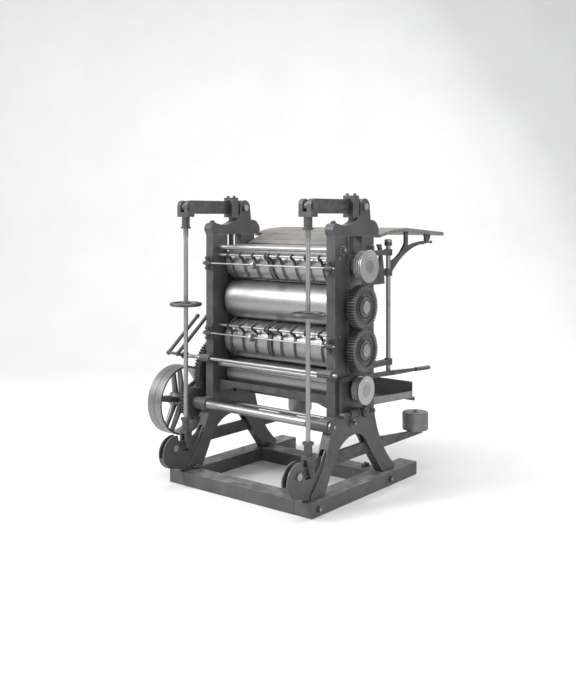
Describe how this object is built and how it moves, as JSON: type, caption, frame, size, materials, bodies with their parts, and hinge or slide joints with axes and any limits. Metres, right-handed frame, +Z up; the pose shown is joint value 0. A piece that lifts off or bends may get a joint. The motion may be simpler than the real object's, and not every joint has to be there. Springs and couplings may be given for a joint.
{
  "type": "four-roll glazing press",
  "caption": "Belt-driven roll press on a rectangular base: geared rolls in cast side frames, weighted loading levers, sheet guides, feed table and delivery tray.",
  "frame": {"origin": "on the floor under the middle of the base's rear cross beam", "axes": "+X along the rolls to the gear side, -Y to the handwheel side, +Z up"},
  "size_m": [1.355, 1.6329, 1.735],
  "materials": {
    "base_iron": "satin black paint on cast iron",
    "frame_paint": "satin dark grey enamel on cast iron",
    "bearing_bronze": "dull bearing bronze",
    "forged_iron": "dark forged iron",
    "bright_steel": "turned bright steel",
    "weight_iron": "turned cast iron",
    "polished_roll": "ground and polished roll face",
    "gear_iron": "cut cast iron, lightly oiled",
    "bright_disc": "faced steel",
    "pulley_iron": "cast iron with a turned rim",
    "sheet_metal": "tinned sheet iron",
    "table_wood": "worn hardwood boards"
  },
  "bodies": {
    "frame": {"base_side_beams": "base_iron", "base_cross_beams": "base_iron", "side_frame_left": "frame_paint", "side_frame_right": "frame_paint", "frame_cap_left": "frame_paint", "frame_cap_right": "frame_paint", "bearing_blocks_left": "bearing_bronze", "bearing_blocks_right": "bearing_bronze", "fulcrum_pins": "bright_steel", "top_stay": "bright_steel", "cross_stays": "bright_steel", "front_rods": "bright_steel", "rod_brackets": "forged_iron", "front_plate": "forged_iron", "feed_board": "table_wood", "feed_table": "table_wood", "table_posts": "bright_steel", "post_brackets": "forged_iron", "table_brackets": "forged_iron", "delivery_tray": "sheet_metal"},
    "roll_1_set": {"roll_1": "polished_roll", "end_disc_1": "bright_disc"},
    "roll_2_set": {"roll_2": "polished_roll", "roll_gear_2": "gear_iron"},
    "roll_3_set": {"roll_3": "polished_roll", "roll_gear_3": "gear_iron"},
    "roll_4_set": {"roll_4": "polished_roll", "end_disc_4": "bright_disc", "drive_gear": "gear_iron"},
    "drive_line": {"drive_shaft": "bright_steel", "drive_pinion": "gear_iron", "fast_pulley": "pulley_iron"},
    "idle_pulley": {"loose_pulley": "pulley_iron"},
    "upper_comb": {"finger_shaft_upper": "bright_steel", "guide_fingers_upper": "forged_iron"},
    "lower_comb": {"finger_shaft_lower": "bright_steel", "guide_fingers_lower": "forged_iron"},
    "guide": {"guide_roller": "bright_steel"},
    "shifter": {"shift_rod": "bright_steel", "belt_fork": "forged_iron"},
    "hand_bar": {"hand_lever": "forged_iron"},
    "link": {"crank_link": "forged_iron"},
    "crank_set": {"crank": "forged_iron"},
    "lower_lever_left": {"lower_lever_left": "forged_iron", "counterweight_left": "weight_iron"},
    "upper_lever_left": {"upper_lever_left": "forged_iron"},
    "hanger_left": {"clevis_left": "forged_iron", "tension_rod_left": "bright_steel", "rod_fork_left": "forged_iron"},
    "handwheel_left": {"handwheel_left": "bright_steel"},
    "stirrup_left": {"stirrup_left": "forged_iron"},
    "lower_lever_right": {"lower_lever_right": "forged_iron", "counterweight_right": "weight_iron"},
    "upper_lever_right": {"upper_lever_right": "forged_iron"},
    "hanger_right": {"clevis_right": "forged_iron", "tension_rod_right": "bright_steel", "rod_fork_right": "forged_iron"},
    "handwheel_right": {"handwheel_right": "bright_steel"},
    "stirrup_right": {"stirrup_right": "forged_iron"}
  },
  "joints": [
    {"name": "roll_4_turn", "type": "hinge", "parent": "frame", "child": "roll_4_set", "pos_m": [0, -0.323, 0.62], "axis": [1, 0, 0], "continuous": true},
    {"name": "roll_3_turn", "type": "hinge", "parent": "frame", "child": "roll_3_set", "pos_m": [0, -0.323, 0.845], "axis": [1, 0, 0], "continuous": true},
    {"name": "roll_2_turn", "type": "hinge", "parent": "frame", "child": "roll_2_set", "pos_m": [0, -0.323, 1.0895], "axis": [1, 0, 0], "continuous": true},
    {"name": "roll_1_turn", "type": "hinge", "parent": "frame", "child": "roll_1_set", "pos_m": [0, -0.323, 1.3215], "axis": [1, 0, 0], "continuous": true},
    {"name": "drive_shaft_turn", "type": "hinge", "parent": "frame", "child": "drive_line", "pos_m": [0, -0.566, 0.44924], "axis": [1, 0, 0], "continuous": true},
    {"name": "loose_pulley_turn", "type": "hinge", "parent": "drive_line", "child": "idle_pulley", "pos_m": [-0.72, -0.566, 0.44924], "axis": [1, 0, 0], "continuous": true},
    {"name": "lower_lever_left_lift", "type": "hinge", "parent": "frame", "child": "lower_lever_left", "pos_m": [-0.464, -0.836, 0.233], "axis": [1, 0, 0], "range_deg": [0, 2]},
    {"name": "upper_lever_left_tilt", "type": "hinge", "parent": "frame", "child": "upper_lever_left", "pos_m": [-0.464, -0.221, 1.66], "axis": [1, 0, 0], "range_deg": [-1, 0]},
    {"name": "hanger_left_swing", "type": "hinge", "parent": "upper_lever_left", "child": "hanger_left", "pos_m": [-0.464, -0.726, 1.66], "axis": [1, 0, 0], "range_deg": [0, 1]},
    {"name": "handwheel_left_spin", "type": "hinge", "parent": "hanger_left", "child": "handwheel_left", "pos_m": [-0.464, -0.726, 1.075], "axis": [0, 0, 1], "continuous": true},
    {"name": "stirrup_left_rise", "type": "slide", "parent": "frame", "child": "stirrup_left", "axis": [0, 0, 1], "range_m": [0, 0.002]},
    {"name": "lower_lever_right_lift", "type": "hinge", "parent": "frame", "child": "lower_lever_right", "pos_m": [0.464, -0.836, 0.233], "axis": [1, 0, 0], "range_deg": [0, 2]},
    {"name": "upper_lever_right_tilt", "type": "hinge", "parent": "frame", "child": "upper_lever_right", "pos_m": [0.464, -0.221, 1.66], "axis": [1, 0, 0], "range_deg": [-1, 0]},
    {"name": "hanger_right_swing", "type": "hinge", "parent": "upper_lever_right", "child": "hanger_right", "pos_m": [0.464, -0.726, 1.66], "axis": [1, 0, 0], "range_deg": [0, 1]},
    {"name": "handwheel_right_spin", "type": "hinge", "parent": "hanger_right", "child": "handwheel_right", "pos_m": [0.464, -0.726, 1.075], "axis": [0, 0, 1], "continuous": true},
    {"name": "stirrup_right_rise", "type": "slide", "parent": "frame", "child": "stirrup_right", "axis": [0, 0, 1], "range_m": [0, 0.002]},
    {"name": "upper_comb_swing", "type": "hinge", "parent": "frame", "child": "upper_comb", "pos_m": [0, -0.471, 1.366], "axis": [1, 0, 0], "range_deg": [-6, 0]},
    {"name": "lower_comb_swing", "type": "hinge", "parent": "frame", "child": "lower_comb", "pos_m": [0, -0.471, 0.931], "axis": [1, 0, 0], "range_deg": [-6, 0]},
    {"name": "guide_roller_turn", "type": "hinge", "parent": "frame", "child": "guide", "pos_m": [0, -0.471, 0.69], "axis": [1, 0, 0], "continuous": true},
    {"name": "belt_shift", "type": "slide", "parent": "frame", "child": "shifter", "axis": [-1, 0, 0], "range_m": [0, 0.06]},
    {"name": "hand_lever_swing", "type": "hinge", "parent": "frame", "child": "hand_bar", "pos_m": [0.495, 0.057, 0.662], "axis": [1, 0, 0], "range_deg": [-1.6, 1.6]},
    {"name": "crank_link_swing", "type": "hinge", "parent": "hand_bar", "child": "link", "pos_m": [0.51, -0.487, 0.693], "axis": [1, 0, 0], "range_deg": [-1.6, 1.6]},
    {"name": "crank_turn", "type": "hinge", "parent": "frame", "child": "crank_set", "pos_m": [0.52, -0.32, 0.5], "axis": [1, 0, 0], "range_deg": [-6, 6]}
  ],
  "couplings": [
    {"joint": "roll_3_turn", "follows": "roll_4_turn", "ratio": -0.83951},
    {"joint": "roll_2_turn", "follows": "roll_4_turn", "ratio": 0.83951},
    {"joint": "roll_1_turn", "follows": "roll_4_turn", "ratio": -0.93578},
    {"joint": "drive_shaft_turn", "follows": "roll_4_turn", "ratio": -2.3},
    {"joint": "upper_lever_left_tilt", "follows": "lower_lever_left_lift", "ratio": -0.21782},
    {"joint": "hanger_left_swing", "follows": "lower_lever_left_lift", "ratio": 0.21782},
    {"joint": "stirrup_left_rise", "follows": "lower_lever_left_lift", "m_per_rad": 0.022218},
    {"joint": "upper_lever_right_tilt", "follows": "lower_lever_right_lift", "ratio": -0.21782},
    {"joint": "hanger_right_swing", "follows": "lower_lever_right_lift", "ratio": 0.21782},
    {"joint": "stirrup_right_rise", "follows": "lower_lever_right_lift", "m_per_rad": 0.022218},
    {"joint": "crank_link_swing", "follows": "hand_lever_swing", "ratio": -1},
    {"joint": "crank_turn", "follows": "hand_lever_swing", "ratio": 3.2575}
  ]
}
